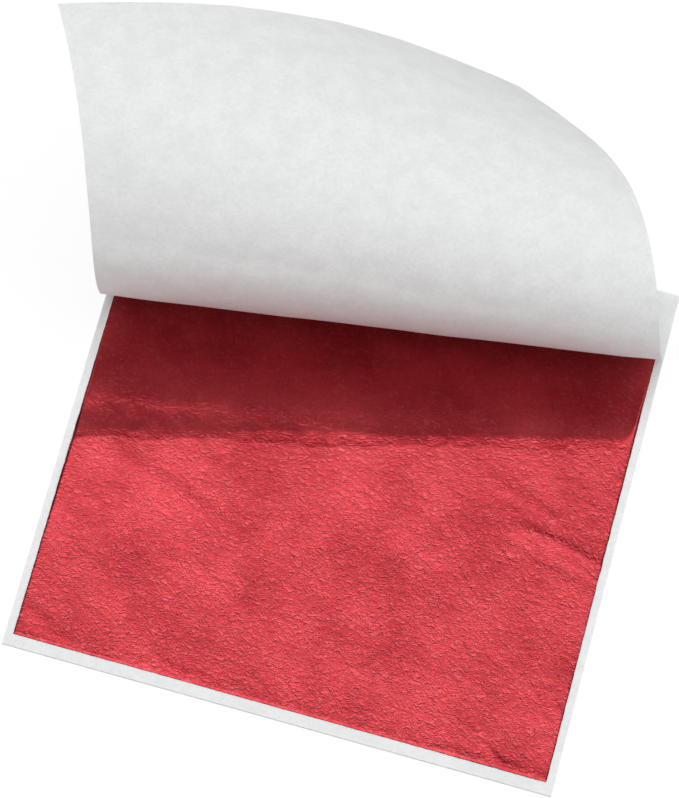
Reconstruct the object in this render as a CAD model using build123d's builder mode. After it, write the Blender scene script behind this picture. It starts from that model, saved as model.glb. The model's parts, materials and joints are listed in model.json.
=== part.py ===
from build123d import *
import os

# A leaf booklet: square sheets of metal leaf, each lying between two tissue pages
# that are gummed together along their far edge. The top page has been turned back,
# so the top leaf lies bare.
# +X runs to the right along the near edge, +Y to the gummed far edge, +Z up.
# The origin is the middle of the bottom page's underside, where the booklet lies on a table.

# Driving sizes, in millimetres
leaf_size = 140.0
side_margin = 2.0
near_margin = 3.5
far_margin = 12.5
leaf_count = 5
page_thickness = 0.05
leaf_thickness = 0.02
leaf_clearance = 0.01
gum_depth = 5.0

# The turned page, as a chain of flat strips hinged on fold lines.
# A fold line crosses the page's left and right edges at its own distances from the far edge,
# which are shares of the page's depth: the fan of fold lines opens towards the left.
strip_count = 14
fold_gap = 0.1
left_start_share = 0.241
left_growth_share = 1.431
right_start_share = 0.02
right_rise_share = 0.531
right_growth_share = 0.24
# The whole page would turn this far if it turned everywhere as at its tightest fold.
full_turn_angle = 312.6
tightest_fold_share = 0.491
fold_spread_share = 0.54

# Sizes that follow
page_width = leaf_size + 2 * side_margin
page_depth = near_margin + leaf_size + far_margin
leaf_room = leaf_thickness + leaf_clearance
page_pitch = page_thickness + leaf_room
leaf_centre_y = (near_margin - far_margin) / 2
gum_centre_y = (page_depth - gum_depth) / 2
top_page_upper_face = leaf_count * page_pitch + page_thickness
left_edge = -page_width / 2
right_edge = page_width / 2
far_edge = page_depth / 2
fold_lines = range(1, strip_count + 1)


def fold_share(number):
    """How far along the fan of fold lines this one is, from 0 to 1."""
    return (number - 0.5) / strip_count


def left_end(number):
    """Where a fold line crosses the line of the page's left edge, laid flat."""
    return far_edge - page_depth * (left_start_share + left_growth_share * fold_share(number) ** 2)


def right_end(number):
    """Where a fold line crosses the line of the page's right edge, laid flat."""
    share = fold_share(number)
    reach_share = right_start_share + right_rise_share * share + right_growth_share * share**2
    return far_edge - page_depth * reach_share


def fold_angle(number):
    """How far the page turns at a fold line, in degrees."""
    offset = (fold_share(number) - tightest_fold_share) / fold_spread_share
    return full_turn_angle * (1 - offset**2) / strip_count


def fold(number):
    """The turn about one fold line, which lies on the page's upper face."""
    start = Vector(left_edge, left_end(number), 0)
    along = Vector(right_edge, right_end(number), 0) - start
    return Pos(start) * Location((0, 0, 0), along, -fold_angle(number)) * Pos(-start)


def strip_plane(number):
    """The flat page's plane, carried round by every fold up to this one."""
    place = Pos(0, 0, top_page_upper_face)
    for line in range(1, number + 1):
        place = place * fold(line)
    return Plane(place)


def above(number):
    """The two ends of a strip's far side, half a gap past its fold line."""
    return [
        (left_edge, left_end(number) - fold_gap / 2),
        (right_edge, right_end(number) - fold_gap / 2),
    ]


def below(number):
    """The two ends of a strip's near side, half a gap short of the next fold line."""
    if number == strip_count:
        last_ends = above(number)
        return [(right_edge, last_ends[1][1] - page_depth), (left_edge, last_ends[0][1] - page_depth)]
    return [
        (right_edge, right_end(number + 1) + fold_gap / 2),
        (left_edge, left_end(number + 1) + fold_gap / 2),
    ]


os.makedirs("parts", exist_ok=True)

# The pages that lie flat, from the bottom one up
for number in range(1, leaf_count + 1):
    with BuildPart() as page:
        with BuildSketch(Plane.XY.offset((number - 1) * page_pitch)):
            Rectangle(page_width, page_depth)
        extrude(amount=page_thickness)
    page.part.label = f"page_{number}"
    export_step(page.part, f"parts/page_{number}.step")

# The leaves, one on each of those pages, held by nothing but the page above
for number in range(1, leaf_count + 1):
    with BuildPart() as leaf:
        with BuildSketch(Plane.XY.offset((number - 1) * page_pitch + page_thickness)):
            with Locations((0, leaf_centre_y)):
                Rectangle(leaf_size, leaf_size)
        extrude(amount=leaf_thickness)
    leaf.part.label = f"leaf_{number}"
    export_step(leaf.part, f"parts/leaf_{number}.step")

# The lines of gum that bind each page to the one under it, along the far edge
for number in range(1, leaf_count + 1):
    with BuildPart() as gum:
        with BuildSketch(Plane.XY.offset((number - 1) * page_pitch + page_thickness)):
            with Locations((0, gum_centre_y)):
                Rectangle(page_width, gum_depth)
        extrude(amount=leaf_room)
    gum.part.label = f"gum_line_{number}"
    export_step(gum.part, f"parts/gum_line_{number}.step")

# The top page's bound part, which still lies flat between the gum and the first fold line
with BuildPart() as top_page_bound:
    with BuildSketch(Plane.XY.offset(top_page_upper_face)):
        Polygon((left_edge, far_edge), (right_edge, far_edge), *below(0), align=None)
    extrude(amount=-page_thickness)
top_page_bound.part.label = "top_page_bound"
export_step(top_page_bound.part, "parts/top_page_bound.step")

# The rest of the top page, turned back strip by strip over the booklet
for number in fold_lines:
    with BuildPart() as strip:
        with BuildSketch(strip_plane(number)):
            Rectangle(page_width, page_depth)
            Polygon(*above(number), *below(number), align=None, mode=Mode.INTERSECT)
        extrude(amount=-page_thickness)
    strip.part.label = f"top_page_strip_{number:02d}"
    export_step(strip.part, f"parts/top_page_strip_{number:02d}.step")

total_turn = sum(fold_angle(number) for number in fold_lines)
narrowest = min(right_end(number) - right_end(number + 1) for number in fold_lines[:-1])
print(f"page {page_width:.1f} x {page_depth:.1f} mm, stack {top_page_upper_face:.2f} mm thick")
print(f"the page turns {total_turn:.1f} degrees in all, narrowest strip end {narrowest:.2f} mm")
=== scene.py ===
"""A booklet of metal leaves between tissue pages, its top page turned back, dressed for the photo.

Every size of the booklet comes from the frame. Lengths are in metres, or in millimetres where a
name or a comment says so.
"""

import json
import math

import bpy
import numpy as np
from mathutils import Matrix, Vector

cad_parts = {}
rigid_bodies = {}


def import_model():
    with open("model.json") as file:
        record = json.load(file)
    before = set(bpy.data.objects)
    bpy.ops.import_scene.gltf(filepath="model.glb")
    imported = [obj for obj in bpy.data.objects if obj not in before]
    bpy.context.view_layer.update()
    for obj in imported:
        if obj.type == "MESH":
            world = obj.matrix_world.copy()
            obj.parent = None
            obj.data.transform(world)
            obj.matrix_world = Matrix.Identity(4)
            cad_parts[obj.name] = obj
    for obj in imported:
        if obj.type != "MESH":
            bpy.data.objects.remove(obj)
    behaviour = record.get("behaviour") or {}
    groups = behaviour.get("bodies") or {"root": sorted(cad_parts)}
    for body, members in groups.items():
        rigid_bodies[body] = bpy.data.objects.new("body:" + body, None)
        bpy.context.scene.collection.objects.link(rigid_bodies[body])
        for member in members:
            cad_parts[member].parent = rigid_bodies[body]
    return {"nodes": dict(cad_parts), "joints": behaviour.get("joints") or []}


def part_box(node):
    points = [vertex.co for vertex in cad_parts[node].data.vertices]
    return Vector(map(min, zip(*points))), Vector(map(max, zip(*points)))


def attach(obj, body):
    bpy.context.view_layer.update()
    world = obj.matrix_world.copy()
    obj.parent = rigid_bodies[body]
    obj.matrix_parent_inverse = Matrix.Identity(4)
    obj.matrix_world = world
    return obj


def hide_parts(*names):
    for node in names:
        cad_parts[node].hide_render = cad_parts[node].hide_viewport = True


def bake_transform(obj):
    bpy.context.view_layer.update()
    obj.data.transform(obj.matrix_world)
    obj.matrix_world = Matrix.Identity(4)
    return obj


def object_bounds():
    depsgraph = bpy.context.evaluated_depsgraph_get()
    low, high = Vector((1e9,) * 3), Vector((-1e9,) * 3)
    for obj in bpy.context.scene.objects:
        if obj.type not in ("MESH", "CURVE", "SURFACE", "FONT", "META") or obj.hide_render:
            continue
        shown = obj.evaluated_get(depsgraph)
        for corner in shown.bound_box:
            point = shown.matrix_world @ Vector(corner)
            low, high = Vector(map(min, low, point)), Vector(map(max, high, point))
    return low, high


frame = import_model()
cad_low, cad_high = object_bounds()
MM = 0.001

# Sizes of the booklet, all read from the frame
page_low, page_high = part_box("page_5")
leaf_low, leaf_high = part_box("leaf_5")
LEFT, RIGHT, NEAR, FAR = page_low.x, page_high.x, page_low.y, page_high.y
PAGE_WIDTH, PAGE_DEPTH = RIGHT - LEFT, FAR - NEAR
LEAF_WIDTH, LEAF_DEPTH = leaf_high.x - leaf_low.x, leaf_high.y - leaf_low.y
PAGE_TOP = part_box("top_page_bound")[1].z
GUM_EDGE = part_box("gum_line_5")[0].y
UV_SIZE = PAGE_DEPTH  # one step of UV is this far on every sheet, so grain has one scale

# The photograph's viewing angle, fitted to the corners of the page and the leaf
AZIMUTH, ELEVATION, ROLL = math.radians(0.184), math.radians(57.929), math.radians(15.432)
DISTANCE, ASIDE, UPWARD = 2315.666 * MM, -1.829 * MM, 17.616 * MM
SENSOR_MM, FOCAL_PIXELS, LONG_SIDE_PIXELS = 36, 9000, 798

# Tissue: its colours where the pulp is thin and dense, and those of its fibres and specks
PULP_THIN, PULP_DENSE = (0.86, 0.875, 0.875), (0.94, 0.957, 0.957)
FIBRE_COLOUR, SPECK_COLOUR = (0.80, 0.80, 0.79), (0.72, 0.72, 0.71)
SHINE_THROUGH_THIN, SHINE_THROUGH_DENSE = (0.95, 0.93, 0.90), (0.86, 0.85, 0.83)
SEE_THROUGH = 0.07  # share of the light that shines through
FIBRE_WAYS = ((0.35, 3.0), (1.5, 11.0), (2.5, 27.0))  # turn in radians, and shift in mm
FIBRE_STRETCH = 6.0

# Leaf: the red lacquer where it is deep and thin, a painted highlight on crests, painted shade in
# creases, and a painted shade line at the torn rim
LACQUER_DEEP, LACQUER_THIN = (0.355, 0.017, 0.025), (0.50, 0.040, 0.050)
PAINTED_CREST_HIGHLIGHT, PAINTED_CREASE_SHADE = (0.60, 0.11, 0.13), (0.24, 0.011, 0.018)
PAINTED_RIM_SHADE = (0.10, 0.006, 0.01)
FINE_CREASES = ((0.78, 1.0), (1.7, 0.6))  # creases to the mm, and their share of the height

GUM_DARK, GUM_PALE = (0.78, 0.76, 0.68), (0.88, 0.87, 0.82)

# A slight step down across the leaf, where the mirror image of the turned page ends, in mm:
# its y at x = 0, its slope, and how far past it the crinkles fade
STEP_START, STEP_SLOPE, CALM_REACH = 6.5, 0.3, 4.5

# The foil's relief, in mm. Waves have a height, a cell size and a seed.
BROAD_WAVES = ((0.09, 38, 11), (0.062, 15, 12))
# Wrinkles have a cell size, a height, a stretch along their way and a seed.
WRINKLES = ((5.5, 0.036, 1.5, 21), (2.9, 0.042, 1.4, 22), (1.6, 0.056, 1.2, 23))
WRINKLE_WAY = math.radians(-35)
# Points along a side of the leaf's mesh, of the bare page's, and of the grid that is searched for
# the relief's lowest point
LEAF_STEPS, PAGE_STEPS, LOWEST_STEPS = 321, 97, 141
FACE_CLEARANCE = 0.006 * MM  # both meshes keep this far from the face where leaf and page meet
TORN_FROM, TORN_TO = 66, 70  # a torn side wanders only this far from the leaf's middle, in mm

# Soft folds seen in the photo: from, to, half-width and height, in mm on the leaf.
# Every height is multiplied by FOLD_STRENGTH.
FOLD_STRENGTH = 1.35
SOFT_FOLDS = (
    ((-68, -73), (-20, -74.5), 1.6, -0.10),
    ((-69, -66), (-55, -73), 2.4, 0.07),
    ((-36, -68), (-29, -72), 1.3, 0.05),
    ((-11, -67), (-4, -70), 1.3, 0.05),
    ((46, -3), (70, -8), 1.5, 0.11),
    ((44, -8), (70, -15), 1.9, -0.07),
    ((36, 8), (57, 1), 1.9, 0.08),
    ((46, 12), (38, 2), 1.4, 0.05),
    ((67, -51), (70, -56), 0.9, 0.07),
    ((52, -69), (59, -73), 1.0, 0.07),
    ((-6, 2), (-22, -40), 3.5, 0.08),
    ((34, 4), (10, -34), 3.0, -0.06),
    ((-60, -14), (-30, -26), 2.6, 0.05),
)

# The turned page's mesh: rulings on its bound part, in each bend and on its last corner,
# and points along each ruling
BOUND_STEPS, BEND_STEPS, CORNER_STEPS, COLUMNS = 12, 20, 16, 73
CORNER_SEARCH = 4001  # shares of a bend that are tried to find the page's near left corner
SAME_PLACE = 1e-7  # points closer than this count as one
# How much of the room up to the gum the curl's lead-in takes, and how much longer it is at the left
LEAD_IN_SHARE, LEFT_LEAD_IN = 0.95, 1.2
# The droop of the last corner, the air under the loose page, and how far below the page's upper
# face the sheet lies where it is bound, which is half the page's thickness
CORNER_DROOP_MM, SHEET_GAP_MM, BOUND_SINK_MM = 1.3, 0.12, 0.025

# Floor: half its side, how far it lies under the booklet, its grey, and the strength and the
# share of the glow that the camera and mirrors see
FLOOR_HALF, FLOOR_DROP = 3.0, 0.05 * MM
FLOOR_GREY, FLOOR_GLOW, FLOOR_GLOW_SHARE = 0.82, 1.05, 0.85
# World strength near the horizon and high up, and the rise between them, by the height of the view
SKY_LOW, SKY_HIGH, SKY_FROM, SKY_TO = 0.22, 2.6, 0.70, 0.96
ZENITH_DIP, ZENITH_TO = 1.0, 0.995


def towards(azimuth, elevation):
    """The way from the booklet to a place. Azimuth 0 is on the near side, and 90 degrees right."""
    return Vector(
        (
            math.sin(azimuth) * math.cos(elevation),
            -math.cos(azimuth) * math.cos(elevation),
            math.sin(elevation),
        )
    )


def link_object(name, data):
    made = bpy.data.objects.new(name, data)
    bpy.context.scene.collection.objects.link(made)
    return made


def aim_camera():
    back = towards(AZIMUTH, ELEVATION)
    level = Vector((0, 0, 1)).cross(back).normalized()
    upright = back.cross(level)
    across = math.cos(ROLL) * level + math.sin(ROLL) * upright
    up = -math.sin(ROLL) * level + math.cos(ROLL) * upright
    data = bpy.data.cameras.new("camera")
    data.sensor_width = SENSOR_MM
    data.lens = FOCAL_PIXELS * SENSOR_MM / LONG_SIDE_PIXELS
    data.clip_start, data.clip_end = 0.05, 20
    camera = link_object("camera", data)
    place = ASIDE * across + UPWARD * up + DISTANCE * back
    turn = Matrix((across, up, back)).transposed().to_4x4()
    camera.matrix_world = Matrix.Translation(place) @ turn
    bpy.context.scene.camera = camera


# Material helpers


def new_material(name):
    made = bpy.data.materials.new(name)
    made.use_nodes = True
    made.node_tree.nodes.clear()
    return made, made.node_tree


def add(tree, kind, **values):
    """A node, with values for its named inputs or its settings."""
    node = tree.nodes.new(kind)
    for key, value in values.items():
        if key in node.inputs:
            node.inputs[key].default_value = value
        else:
            setattr(node, key, value)
    return node


def show(tree, shader, output="ShaderNodeOutputMaterial"):
    tree.links.new(shader, add(tree, output).inputs["Surface"])


def mm_coordinates(tree, source, size_mm, turn=0.0, stretch=1.0, shift=0.0):
    """Texture coordinates in millimetres, turned and stretched for fibres or strands."""
    place = add(tree, "ShaderNodeTexCoord")
    mapping = add(tree, "ShaderNodeMapping")
    mapping.inputs["Location"].default_value = (shift, shift, 0)
    mapping.inputs["Rotation"].default_value = (0, 0, turn)
    mapping.inputs["Scale"].default_value = (size_mm / stretch, size_mm, size_mm)
    tree.links.new(place.outputs[source], mapping.inputs["Vector"])
    return mapping.outputs["Vector"]


def noise(tree, vector, per_mm, detail=2.0, rough=0.5, warp=0.0):
    node = add(
        tree, "ShaderNodeTexNoise", Scale=per_mm, Detail=detail, Roughness=rough, Distortion=warp
    )
    tree.links.new(vector, node.inputs["Vector"])
    return node.outputs["Fac"]


def spread(tree, value, low, high, to_low=0.0, to_high=1.0):
    node = add(tree, "ShaderNodeMapRange", interpolation_type="SMOOTHSTEP")
    node.inputs["From Min"].default_value = low
    node.inputs["From Max"].default_value = high
    node.inputs["To Min"].default_value = to_low
    node.inputs["To Max"].default_value = to_high
    tree.links.new(value, node.inputs["Value"])
    return node.outputs["Result"]


def math_node(tree, operation, a, b):
    node = add(tree, "ShaderNodeMath", operation=operation)
    for socket, value in zip(node.inputs, (a, b)):
        if isinstance(value, (int, float)):
            socket.default_value = value
        else:
            tree.links.new(value, socket)
    return node.outputs["Value"]


def times(tree, a, b):
    return math_node(tree, "MULTIPLY", a, b)


def plus(tree, a, b):
    return math_node(tree, "ADD", a, b)


def mix_colour(tree, share, first, second):
    node = add(tree, "ShaderNodeMix", data_type="RGBA")
    tree.links.new(share, node.inputs["Factor"])
    for socket, value in ((node.inputs[6], first), (node.inputs[7], second)):
        if isinstance(value, tuple):
            socket.default_value = (*value, 1)
        else:
            tree.links.new(value, socket)
    return node.outputs[2]


def mix_shaders(tree, share, first, second):
    node = add(tree, "ShaderNodeMixShader")
    if isinstance(share, float):
        node.inputs["Fac"].default_value = share
    else:
        tree.links.new(share, node.inputs["Fac"])
    tree.links.new(first, node.inputs[1])
    tree.links.new(second, node.inputs[2])
    return node.outputs["Shader"]


def bumped(tree, height, strength, depth_mm):
    node = add(tree, "ShaderNodeBump", Strength=strength, Distance=depth_mm * MM)
    tree.links.new(height, node.inputs["Height"])
    return node.outputs["Normal"]


def tissue_material(name, source, size_mm):
    """Thin calendered tissue: clouds in the pulp, short fibres all ways, specks, a faint tooth."""
    made, tree = new_material(name)
    flat = mm_coordinates(tree, source, size_mm)
    clouds = noise(tree, flat, 0.16, 3, 0.55)
    flocks = noise(tree, flat, 0.9, 4, 0.62, 0.4)
    grain = noise(tree, flat, 2.0, 4, 0.7)
    fibres = None
    for turn, shift in FIBRE_WAYS:
        laid = mm_coordinates(tree, source, size_mm, turn, FIBRE_STRETCH, shift)
        strand = spread(tree, noise(tree, laid, 2.3, 1, 0.4), 0.62, 0.74)
        fibres = strand if fibres is None else math_node(tree, "MAXIMUM", fibres, strand)
    pulp = plus(tree, times(tree, clouds, 0.5), times(tree, flocks, 0.5))
    tone = spread(tree, pulp, 0.35, 0.65)
    colour = mix_colour(tree, tone, PULP_THIN, PULP_DENSE)
    colour = mix_colour(tree, times(tree, fibres, 0.22), colour, FIBRE_COLOUR)
    specks = spread(tree, noise(tree, flat, 1.6, 3, 0.75, 0.6), 0.52, 0.72, 0.0, 0.30)
    colour = mix_colour(tree, specks, colour, SPECK_COLOUR)
    height = plus(tree, times(tree, flocks, 0.8), times(tree, grain, 0.6))
    height = plus(tree, height, times(tree, fibres, 0.12))
    normal = bumped(tree, height, 0.8, 0.13)
    paper = add(tree, "ShaderNodeBsdfPrincipled", Roughness=0.62)
    paper.inputs["Specular IOR Level"].default_value = 0.35
    tree.links.new(colour, paper.inputs["Base Color"])
    tree.links.new(normal, paper.inputs["Normal"])
    through = add(tree, "ShaderNodeBsdfTranslucent")
    shine = mix_colour(tree, tone, SHINE_THROUGH_THIN, SHINE_THROUGH_DENSE)
    tree.links.new(shine, through.inputs["Color"])
    tree.links.new(normal, through.inputs["Normal"])
    show(tree, mix_shaders(tree, SEE_THROUGH, paper.outputs["BSDF"], through.outputs["BSDF"]))
    return made


def leaf_rim(tree, flat, place, size_mm):
    """How far inside the leaf a point lies, in mm, with a slightly uneven edge."""
    rim = None
    for axis, extent in (("X", LEAF_WIDTH), ("Y", LEAF_DEPTH)):
        along = times(tree, place.outputs[axis], size_mm)
        rest = math_node(tree, "SUBTRACT", extent / MM, along)
        near = math_node(tree, "MINIMUM", along, rest)
        rim = near if rim is None else math_node(tree, "MINIMUM", rim, near)
    return plus(tree, rim, times(tree, noise(tree, flat, 0.5, 2), 0.5))


def past_step(tree, place, size_mm):
    """How far past the slight step a point of the leaf lies, in mm."""
    step_at_left = STEP_START + STEP_SLOPE * leaf_low.x / MM - leaf_low.y / MM
    step = plus(tree, times(tree, place.outputs["X"], size_mm * STEP_SLOPE), step_at_left)
    return math_node(tree, "SUBTRACT", times(tree, place.outputs["Y"], size_mm), step)


def leaf_material(name, source, size_mm, whole=True):
    """Red lacquered metal leaf, mirror bright, with a painted highlight on crests and painted shade
    in creases. A whole leaf has a painted shade line along its rim, and its calm far part.
    """
    made, tree = new_material(name)
    flat = mm_coordinates(tree, source, size_mm)
    strands = mm_coordinates(tree, source, size_mm, -WRINKLE_WAY, 1.4, 5.0)
    depth = noise(tree, flat, 0.05, 3, 0.6)
    creases = None
    for per_mm, tall in FINE_CREASES:
        fine = math_node(tree, "SUBTRACT", noise(tree, strands, per_mm, 2, 0.5, 0.7), 0.5)
        crease = times(tree, math_node(tree, "ABSOLUTE", fine, 0), tall)
        creases = crease if creases is None else plus(tree, creases, crease)
    colour = mix_colour(tree, spread(tree, depth, 0.3, 0.7), LACQUER_DEEP, LACQUER_THIN)
    # painted highlight: the crests of the fine creases are painted lighter and paler
    colour = mix_colour(
        tree, spread(tree, creases, 0.06, 0.30, 0.0, 0.34), colour, PAINTED_CREST_HIGHLIGHT
    )
    # painted shade: the hollows of the fine creases are painted darker
    colour = mix_colour(
        tree, spread(tree, creases, 0.0, 0.08, 0.22, 0.0), colour, PAINTED_CREASE_SHADE
    )
    if whole:
        coordinates = add(tree, "ShaderNodeTexCoord")
        place = add(tree, "ShaderNodeSeparateXYZ")
        tree.links.new(coordinates.outputs["UV"], place.inputs["Vector"])
        # painted shade: the torn, turned-down rim shows as a thin dark line, painted for the
        # shadowed gap under the leaf's edge
        inside = spread(tree, leaf_rim(tree, flat, place, size_mm), 0.25, 0.5)
        colour = mix_colour(tree, inside, PAINTED_RIM_SHADE, colour)
        # past the slight step the foil lies nearly smooth
        calm = spread(tree, past_step(tree, place, size_mm), 0, CALM_REACH, 1.0, 0.1)
        creases = times(tree, creases, calm)
    normal = bumped(tree, creases, 1.0, 0.26)
    foil = add(tree, "ShaderNodeBsdfPrincipled", Metallic=1.0)
    tree.links.new(colour, foil.inputs["Base Color"])
    foil.inputs["Coat Weight"].default_value = 0.25
    foil.inputs["Coat Roughness"].default_value = 0.06
    tree.links.new(spread(tree, depth, 0.3, 0.7, 0.045, 0.075), foil.inputs["Roughness"])
    tree.links.new(normal, foil.inputs["Normal"])
    show(tree, foil.outputs["BSDF"])
    return made


def gum_material(name):
    """Dried gum, laid on in dabs."""
    made, tree = new_material(name)
    flat = mm_coordinates(tree, "Object", 1 / MM)
    dabs = noise(tree, flat, 0.4, 3, 0.6)
    colour = mix_colour(tree, spread(tree, dabs, 0.3, 0.7), GUM_DARK, GUM_PALE)
    normal = bumped(tree, dabs, 0.4, 0.03)
    gum = add(tree, "ShaderNodeBsdfPrincipled")
    tree.links.new(colour, gum.inputs["Base Color"])
    tree.links.new(spread(tree, dabs, 0.3, 0.7, 0.35, 0.6), gum.inputs["Roughness"])
    tree.links.new(normal, gum.inputs["Normal"])
    show(tree, gum.outputs["BSDF"])
    return made


# Mesh helpers


def grid_object(name, points, flat, material, normals=None):
    """A single-layer sheet from a grid of points.

    flat gives each point's place on the cut sheet, from its corner. A last row whose points are
    all in one place becomes one point.
    """
    rows, columns = points.shape[:2]
    keep = np.ones(rows * columns, bool)
    index = np.arange(rows * columns).reshape(rows, columns)
    if np.linalg.norm(points[-1] - points[-1, -1], axis=1).max() < SAME_PLACE:
        index[-1, :] = index[-1, -1]
        keep[(rows - 1) * columns : rows * columns - 1] = False
    renumber = np.cumsum(keep) - 1
    faces, corners = [], []
    for r in range(rows - 1):
        for c in range(columns - 1):
            seen = []
            for place in ((r, c), (r + 1, c), (r + 1, c + 1), (r, c + 1)):
                vertex = int(renumber[index[place]])
                if vertex not in [known for known, _ in seen]:
                    seen.append((vertex, place))
            faces.append([vertex for vertex, _ in seen])
            corners.extend(place for _, place in seen)
    mesh = bpy.data.meshes.new(name)
    mesh.from_pydata(points.reshape(-1, 3)[keep].tolist(), [], faces)
    uv = mesh.uv_layers.new(name="flat_place")
    places = np.array([flat[place] for place in corners]) / UV_SIZE
    uv.data.foreach_set("uv", places.astype(np.float32).ravel())
    mesh.polygons.foreach_set("use_smooth", np.ones(len(mesh.polygons), bool))
    if normals is not None:
        mesh.normals_split_custom_set_from_vertices(normals.reshape(-1, 3)[keep].tolist())
    mesh.materials.append(material)
    mesh.update()
    return link_object(name, mesh)


def gradient_noise(x, y, cell, seed):
    """Smooth noise from -1 to 1 with features of about one cell."""
    table, gain = 256, 1.4
    turn = np.random.default_rng(seed).uniform(0, 2 * math.pi, (table, table))
    x, y = x / cell, y / cell
    i, j = np.floor(x).astype(int), np.floor(y).astype(int)
    fx, fy = x - i, y - j
    ease_x, ease_y = (f * f * f * (f * (f * 6 - 15) + 10) for f in (fx, fy))
    total = 0
    for di in (0, 1):
        for dj in (0, 1):
            angle = turn[(i + di) % table, (j + dj) % table]
            dot = np.cos(angle) * (fx - di) + np.sin(angle) * (fy - dj)
            total = total + dot * (ease_x if di else 1 - ease_x) * (ease_y if dj else 1 - ease_y)
    return total * gain


def ease(value, low, high):
    """Rises smoothly from 0 at low to 1 at high."""
    t = np.clip((value - low) / (high - low), 0, 1)
    return t * t * (3 - 2 * t)


# The foil's broad relief, which the turned page follows when it lies flat


def step_line(x):
    """Where the slight step crosses the leaf, in mm."""
    return STEP_START + STEP_SLOPE * x


def slight_step(x, y):
    """A slight step down across the leaf, where the mirror image of the turned page ends."""
    ahead = y - step_line(x) + 1.3 * gradient_noise(x, y, 14, 61)
    ahead = ahead + 0.7 * gradient_noise(x, y, 4.5, 62)
    # the step's width in mm and its bend per mm: both grow to the left
    to_left = 1 - ease(x, -66, -10)
    width = 10.2 - 6.0 * ease(x, 0, 70) + 2.2 * to_left
    bend = 0.0088 + 0.0022 * to_left
    crest = bend * width**2 / 2
    falling = bend * np.clip(width - ahead, 0, width) ** 2 / 2
    return np.where(ahead > 0, falling, crest * (1 - ease(-ahead, 0, 35)))


def soft_fold(x, y, start, end, half_width, tall):
    (x0, y0), (x1, y1) = start, end
    run = np.array([x1 - x0, y1 - y0])
    length = np.linalg.norm(run)
    run = run / length
    along = (x - x0) * run[0] + (y - y0) * run[1]
    off = -(x - x0) * run[1] + (y - y0) * run[0] + 0.5 * gradient_noise(x, y, 7, 31)
    ends = ease(along, -3, 3) * (1 - ease(along, length - 3, length + 3))
    return FOLD_STRENGTH * tall * np.exp(-((off / half_width) ** 2)) * ends


def broad_relief(x, y):
    """The broad rises and folds of the foil, in mm."""
    height = 0
    for tall, cell, seed in BROAD_WAVES:
        height = height + tall * gradient_noise(x, y, cell, seed)
    height = height + slight_step(x, y)
    for fold in SOFT_FOLDS:
        height = height + soft_fold(x, y, *fold)
    return height


def lowest_relief():
    across = np.linspace(leaf_low.x, leaf_high.x, LOWEST_STEPS) / MM
    along = np.linspace(leaf_low.y, leaf_high.y, LOWEST_STEPS) / MM
    return broad_relief(*np.meshgrid(across, along)).min()


# The turned page: one smooth sheet through the CAD's chain of fold lines


def hinge_chain():
    """The page's hinges from the bound part outwards."""
    by_parent = {j["parent"]: j for j in frame["joints"] if j["type"] == "hinge"}
    chain, body = [], "block"
    while body in by_parent:
        chain.append(by_parent[body])
        body = chain[-1]["child"]
    return chain


def turn_about(joint):
    """The turn that lays the joint's child flat against its parent."""
    place = Vector(joint["pos_m"])
    angle = math.radians(joint["range_deg"][1])
    spin = Matrix.Rotation(angle, 4, Vector(joint["axis"]))
    return Matrix.Translation(place) @ spin @ Matrix.Translation(-place)


def carry(matrix, points):
    array = np.array(matrix)
    return points @ array[:3, :3].T + array[:3, 3]


aim_camera()
page_paper = tissue_material("turned_page_tissue", "UV", UV_SIZE / MM)
flat_paper = tissue_material("flat_page_tissue", "UV", UV_SIZE / MM)
edge_paper = tissue_material("page_edge_tissue", "Object", 1 / MM)
top_foil = leaf_material("top_leaf_foil", "UV", UV_SIZE / MM)
edge_foil = leaf_material("leaf_edge_foil", "Object", 1 / MM, whole=False)
gum = gum_material("gum")
LOWEST = lowest_relief()

hinges = hinge_chain()
COUNT = len(hinges)
# laid[k] carries strip k from where it stands to the flat page, and raised[k] carries it back
laid = [Matrix.Identity(4)]
for joint in hinges:
    laid.append(laid[-1] @ turn_about(joint))
raised = [matrix.inverted() for matrix in laid]

# Each fold line's two ends on the flat page, with a line before the first fold and one after the
# last, so that both ends of the curl run out flat
flat_lines = {}
for k, joint in enumerate(hinges, 1):
    place = laid[k] @ Vector(joint["pos_m"])
    along = laid[k].to_3x3() @ Vector(joint["axis"])
    ends = [place + along * ((x - place.x) / along.x) for x in (LEFT, RIGHT)]
    flat_lines[k] = np.array([(end.x, end.y, PAGE_TOP) for end in ends])
lead_in = 2 * (flat_lines[1][1, 1] - GUM_EDGE) * LEAD_IN_SHARE
flat_lines[0] = flat_lines[1] - np.array([(0, lead_in * LEFT_LEAD_IN, 0), (0, lead_in, 0)])
flat_lines[COUNT + 1] = 2 * flat_lines[COUNT] - flat_lines[COUNT - 1]
rest_lines = {k: carry(raised[min(k, COUNT)], line) for k, line in flat_lines.items()}
rest_lines[0] = flat_lines[0]


def bend_rulings(lines, k, t):
    """Ends of the rulings at shares t of the bend round line k.

    The bend starts and ends half-way to the neighbouring lines.
    """
    t = t[:, None, None]
    first, middle, last = (lines[k - 1] + lines[k]) / 2, lines[k], (lines[k] + lines[k + 1]) / 2
    return (1 - t) ** 2 * first + 2 * t * (1 - t) * middle + t**2 * last


def bend_steps(k):
    """Shares of the bend round line k, one of them at the near left corner if that is there."""
    steps = np.linspace(0, 1, BEND_STEPS + 1)
    sides = bend_rulings(flat_lines, k, steps)[:, 0, 1]
    if sides[0] > NEAR > sides[-1]:
        fine = np.linspace(0, 1, CORNER_SEARCH)
        corner = fine[np.argmin(abs(bend_rulings(flat_lines, k, fine)[:, 0, 1] - NEAR))]
        steps[1 + np.argmin(abs(steps[1:-1] - corner))] = corner
    return steps


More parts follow.
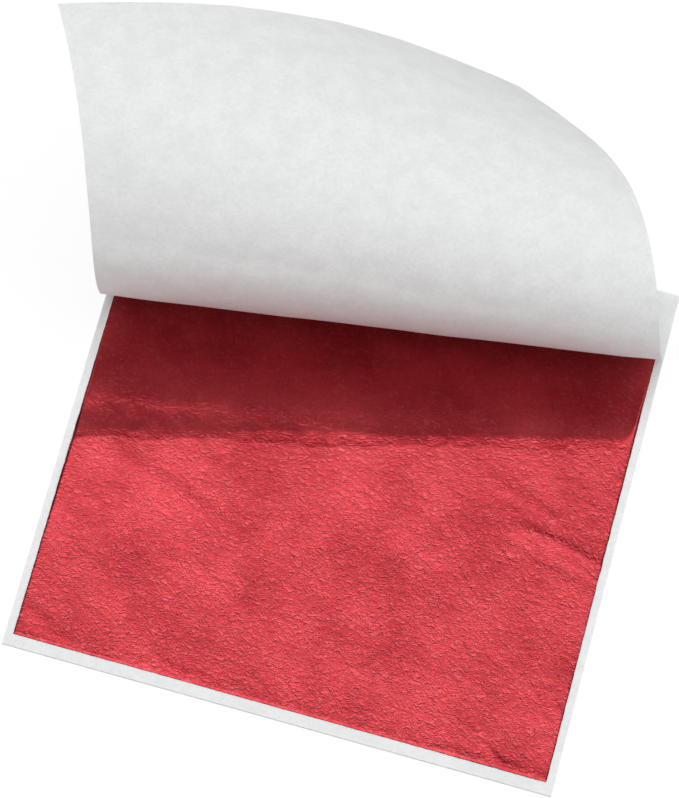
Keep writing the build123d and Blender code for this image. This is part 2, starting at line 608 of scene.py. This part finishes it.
def page_rows():
    """Flat and risen places of every ruling's points, and the piece each ruling belongs to."""
    flat_rows, rest_rows, owner = [], [], []
    v = np.linspace(0, 1, COLUMNS)[:, None]
    top = np.array([(LEFT, FAR, PAGE_TOP), (RIGHT, FAR, PAGE_TOP)])
    seam = (flat_lines[0] + flat_lines[1]) / 2
    for u in np.linspace(0, 1, BOUND_STEPS + 1)[:-1]:
        ends = (1 - u) * top + u * seam
        row = ends[0] * (1 - v) + ends[1] * v
        flat_rows.append(row)
        rest_rows.append(row)
        owner.append(1)
    for k in range(1, COUNT + 1):
        steps = bend_steps(k)
        if k < COUNT:
            steps = steps[:-1]  # the next bend starts with this one's last ruling
        bends = bend_rulings(flat_lines, k, steps), bend_rulings(rest_lines, k, steps)
        for f, r in zip(*bends):
            # a ruling that would start before the page's near edge starts on it
            start = max(0.0, (NEAR - f[0, 1]) / (f[1, 1] - f[0, 1]))
            w = start + (1 - start) * v
            flat_rows.append(f[0] * (1 - w) + f[1] * w)
            rest_rows.append(r[0] * (1 - w) + r[1] * w)
            owner.append(k)
    edge_x, edge_y = flat_rows[-1][0, 0], flat_rows[-1][-1, 1]
    for u in np.linspace(0, 1, CORNER_STEPS + 1)[1:]:
        on_near_edge = np.array([edge_x + (RIGHT - edge_x) * u, NEAR, PAGE_TOP])
        on_right_edge = np.array([RIGHT, edge_y + (NEAR - edge_y) * u, PAGE_TOP])
        row = on_near_edge * (1 - v) + on_right_edge * v
        flat_rows.append(row)
        rest_rows.append(carry(raised[COUNT], row))
        owner.append(COUNT)
    return np.array(flat_rows), np.array(rest_rows), np.array(owner)


def surface_normals(points):
    """Unit normals of a grid of points, upward where the grid starts."""
    normal = np.cross(np.gradient(points, axis=0), np.gradient(points, axis=1))
    normal[-1] = normal[-2]
    normal /= np.linalg.norm(normal, axis=2, keepdims=True)
    return -normal if normal[0, 0, 2] < 0 else normal


def page_lift(flat):
    """How far the page stands off its chain of strips, in mm: ripples, relief below, droop."""
    x, y = flat[..., 0] / MM, flat[..., 1] / MM
    past_gum = ease(GUM_EDGE / MM - y, 0, 12)
    edge_share = ease(np.maximum(abs(x) - 60, NEAR / MM + 12 - y), 0, 12)
    ripple = 0.14 + 0.14 * gradient_noise(x, y, 34, 71) + 0.04 * gradient_noise(x, y, 11, 72)
    ripple += 0.16 * edge_share * (1 + gradient_noise(x, y, 17, 73))
    # it lies on the leaf when it is unrolled, so it follows the leaf's broad relief, which is
    # carried on outwards from the leaf's edges
    ripple += broad_relief(np.clip(x, -70, 70), np.maximum(y, -74)) - LOWEST
    end_line = flat_lines[COUNT] / MM
    way = (end_line[1] - end_line[0]) / np.linalg.norm(end_line[1] - end_line[0])
    past_end = (x - end_line[0, 0]) * way[1] - (y - end_line[0, 1]) * way[0]
    droop = CORNER_DROOP_MM * (np.maximum(past_end, 0) / past_end[-1, -1]) ** 2
    return droop + (SHEET_GAP_MM + ripple) * past_gum - BOUND_SINK_MM


def flat_cut(flat, along):
    """A flat piece's width and length, along and across its fold line, and its area."""
    rim = np.concatenate([flat[0, :-1], flat[:-1, -1], flat[-1, :0:-1], flat[:0:-1, 0]])[:, :2]
    x, y = rim[:, 0], rim[:, 1]
    area = abs(np.sum(x * np.roll(y, -1) - np.roll(x, -1) * y)) / 2
    along = along / np.linalg.norm(along)
    across = np.array([-along[1], along[0]])
    return (np.ptp(rim @ along), np.ptp(rim @ across)), area


def blend_at_hinge(piece, k):
    """Works out the way across hinge k, which is not used, and bakes the piece's placement into its
    mesh.
    """
    line = flat_lines[k]
    along = line[1] - line[0]
    across = np.array([along[1], -along[0], 0]) / np.linalg.norm(along)
    way = sum(np.array(raised[i].to_3x3()) @ across for i in (k - 1, k))
    way /= np.linalg.norm(way)
    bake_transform(piece)


def make_turned_page():
    """The turned page's pieces, each with its flat size and area."""
    flat_page, risen_page, owner = page_rows()
    lift = page_lift(flat_page) * MM
    risen_page = risen_page + surface_normals(risen_page) * lift[..., None]
    normals = surface_normals(risen_page)
    corner = np.array([LEFT, NEAR])
    pieces = []
    for k in range(1, COUNT + 1):
        rows = np.flatnonzero(owner == k)
        if k < COUNT:
            rows = np.append(rows, rows[-1] + 1)
        flat = flat_page[rows]
        cut = flat[..., :2] - corner
        piece = grid_object(
            f"turned_page_{k:02d}", risen_page[rows], cut, page_paper, normals[rows]
        )
        blend_at_hinge(piece, k)
        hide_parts(f"top_page_strip_{k:02d}")
        if k == 1:
            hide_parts("top_page_bound")
        size, area = flat_cut(flat, (flat_lines[k][1] - flat_lines[k][0])[:2])
        pieces.append((piece, size, area))
    return pieces


# The sheets that lie flat


def sheet_grid(width, depth, steps):
    """Places on a flat sheet, from its corner, as x and y grids."""
    u = np.linspace(0, 1, steps)
    return (u * width)[None, :].repeat(steps, 0), (u * depth)[:, None].repeat(steps, 1)


def leaf_relief(x, y):
    """Height of the foil above its page, in mm."""
    along = math.cos(WRINKLE_WAY) * x + math.sin(WRINKLE_WAY) * y
    across = -math.sin(WRINKLE_WAY) * x + math.cos(WRINKLE_WAY) * y
    sway = 1.1 * gradient_noise(x, y, 5.0, 5)
    # the far part lay flatter under the page
    calm = 1 - 0.92 * ease(y - step_line(x), -1, CALM_REACH)
    height = broad_relief(x, y) - LOWEST
    for cell, tall, stretch, seed in WRINKLES:
        wrinkle = gradient_noise(along / stretch + sway, across + 0.6 * sway, cell, seed)
        height = height - tall * calm * np.sqrt(wrinkle**2 + 0.0006)
    return height + 0.006 * gradient_noise(along / 1.3, across, 1.0, 24)


def pressed(x, y, relief):
    """The relief with its far part held down where the turned page comes off the leaf."""
    line = flat_lines[3] / MM
    slope = (line[1, 1] - line[0, 1]) / (line[1, 0] - line[0, 0])
    under_page = y - (line[0, 1] + slope * (x - line[0, 0]))
    free = 1 - ease(under_page, -26, 2)
    return 0.02 + np.maximum(relief + 0.06, 0) * (0.06 + 0.94 * free)


def near_rim_curl(x, y, from_rim):
    """The near rim curls up a little, most at its two ends."""
    at_ends = np.maximum(1 - ease(x, -30, -8), ease(x, 34, 50))
    curl = 0.05 + 0.20 * at_ends * (0.7 + 0.5 * gradient_noise(x, y, 12, 45))
    return curl * (1 - ease(from_rim, 0, 4.5))


def torn_side(along, seeds):
    """How far a torn side wanders in from straight, as a share."""
    none = np.zeros_like(along)
    coarse, fine = (gradient_noise(along, none, cell, s) for cell, s in zip((9, 2.5), seeds))
    return abs(coarse + 0.5 * fine)


def make_leaf():
    """The top leaf: crinkled foil with a torn rim."""
    flat_x, flat_y = sheet_grid(LEAF_WIDTH, LEAF_DEPTH, LEAF_STEPS)
    x, y = (leaf_low.x + flat_x) / MM, (leaf_low.y + flat_y) / MM
    from_sides = np.minimum(flat_x, LEAF_WIDTH - flat_x)
    inset = np.minimum(from_sides, np.minimum(flat_y, LEAF_DEPTH - flat_y)) / MM
    relief = pressed(x, y, leaf_relief(x, y)) + near_rim_curl(x, y, flat_y / MM)
    relief = relief * ease(inset, -0.4, 0.5)
    wobble = 0.14 * (1 - ease(inset, 0, 2))
    # the frame's single-precision values are rounded to the thousandth of a mm they stand for
    centre_y = round((leaf_low.y + leaf_high.y) / 2 / MM, 3)
    share_x = ease(abs(x), TORN_FROM, TORN_TO)
    share_y = ease(abs(y - centre_y), TORN_FROM, TORN_TO)
    side_x = np.sign(x) * wobble * torn_side(y, (41, 42)) * share_x
    side_y = np.sign(y) * wobble * torn_side(x, (43, 44)) * share_y
    height = leaf_low.z + FACE_CLEARANCE + relief * MM
    points = np.stack([(x - side_x) * MM, (y - side_y) * MM, height], axis=-1)
    made = grid_object("top_leaf", points, np.stack([flat_x, flat_y], axis=-1), top_foil)
    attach(made, "leaf_5")
    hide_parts("leaf_5")
    return made


def make_flat_page():
    """The page under the top leaf: its margins stand very slightly proud of true flat."""
    flat_x, flat_y = sheet_grid(PAGE_WIDTH, PAGE_DEPTH, PAGE_STEPS)
    x, y = (LEFT + flat_x) / MM, (NEAR + flat_y) / MM
    inset = np.minimum(np.minimum(flat_x, PAGE_WIDTH - flat_x), flat_y) / MM
    margin = 1 - ease(inset, 0, 2.6)
    wave = 0.03 + 0.06 * abs(gradient_noise(x, y, 26, 51)) + 0.02 * gradient_noise(x, y, 8, 52)
    lift = margin * wave * (1 - ease(y, GUM_EDGE / MM - 40, GUM_EDGE / MM))
    points = np.stack([x * MM, y * MM, page_high.z - FACE_CLEARANCE + lift * MM], axis=-1)
    made = grid_object("bare_page", points, np.stack([flat_x, flat_y], axis=-1), flat_paper)
    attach(made, "block")
    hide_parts("page_5")
    return made


def dress_hidden_sheets():
    """The CAD's own solids that still show, at the edges of the stack."""
    for name, node in frame["nodes"].items():
        if node.hide_render:
            continue
        node.data.materials.clear()
        kind = edge_paper
        if name.startswith("leaf"):
            kind = edge_foil
        elif name.startswith("gum"):
            kind = gum
        node.data.materials.append(kind)


# Floor, world and lamps


def make_floor():
    """A white floor that looks plain white to the camera and in mirrors."""
    mesh = bpy.data.meshes.new("floor")
    half, level = FLOOR_HALF, cad_low.z - FLOOR_DROP
    corners = [(-half, -half), (half, -half), (half, half), (-half, half)]
    mesh.from_pydata([(x, y, level) for x, y in corners], [], [(0, 1, 2, 3)])
    made = link_object("floor", mesh)
    material, tree = new_material("white_floor")
    plain = add(tree, "ShaderNodeBsdfDiffuse", Color=(FLOOR_GREY, FLOOR_GREY, FLOOR_GREY, 1))
    glow = add(tree, "ShaderNodeEmission", Strength=FLOOR_GLOW)
    path = add(tree, "ShaderNodeLightPath")
    seen = path.outputs["Is Camera Ray"]
    for ray in ("Is Glossy Ray", "Is Transmission Ray"):
        seen = math_node(tree, "MAXIMUM", seen, path.outputs[ray])
    share = times(tree, seen, FLOOR_GLOW_SHARE)
    show(tree, mix_shaders(tree, share, plain.outputs["BSDF"], glow.outputs["Emission"]))
    mesh.materials.append(material)


def make_world():
    """A white tent: dim round the sides, brighter high up, plain white where the camera sees it."""
    world = bpy.data.worlds.new("studio")
    world.use_nodes = True
    tree = world.node_tree
    tree.nodes.clear()
    path = add(tree, "ShaderNodeLightPath")
    place = add(tree, "ShaderNodeTexCoord")
    split = add(tree, "ShaderNodeSeparateXYZ")
    tree.links.new(place.outputs["Generated"], split.inputs["Vector"])
    rise = split.outputs["Z"]
    sky = spread(tree, rise, SKY_FROM, SKY_TO, SKY_LOW, SKY_HIGH)
    # a little dimmer again right overhead, so that the leaf seen from above isn't washed out
    sky = math_node(tree, "SUBTRACT", sky, spread(tree, rise, SKY_TO, ZENITH_TO, 0.0, ZENITH_DIP))
    plain = math_node(
        tree, "MAXIMUM", path.outputs["Is Camera Ray"], path.outputs["Is Transmission Ray"]
    )
    glow = add(tree, "ShaderNodeBackground", Color=(1, 1, 1, 1))
    tree.links.new(math_node(tree, "MAXIMUM", sky, plain), glow.inputs["Strength"])
    show(tree, glow.outputs["Background"], "ShaderNodeOutputWorld")
    bpy.context.scene.world = world


def softbox(name, azimuth, elevation, distance, size, power):
    """An area lamp that faces the booklet, with its angles in degrees."""
    data = bpy.data.lights.new(name, "AREA")
    data.shape = "RECTANGLE"
    data.size, data.size_y = size
    data.energy = power
    lamp = link_object(name, data)
    back = towards(math.radians(azimuth), math.radians(elevation))
    lamp.location = back * distance
    lamp.rotation_mode = "QUATERNION"
    lamp.rotation_quaternion = back.to_track_quat("Z", "Y")


page_pieces = make_turned_page()
top_leaf = make_leaf()
bare_page = make_flat_page()
dress_hidden_sheets()

make_floor()
make_world()
softbox("overhead", azimuth=180, elevation=86, distance=1.4, size=(1.6, 0.8), power=1.1)
softbox("low_front", azimuth=0, elevation=7, distance=1.2, size=(1.2, 0.2), power=1.5)
bpy.context.scene.view_settings.view_transform = "Standard"
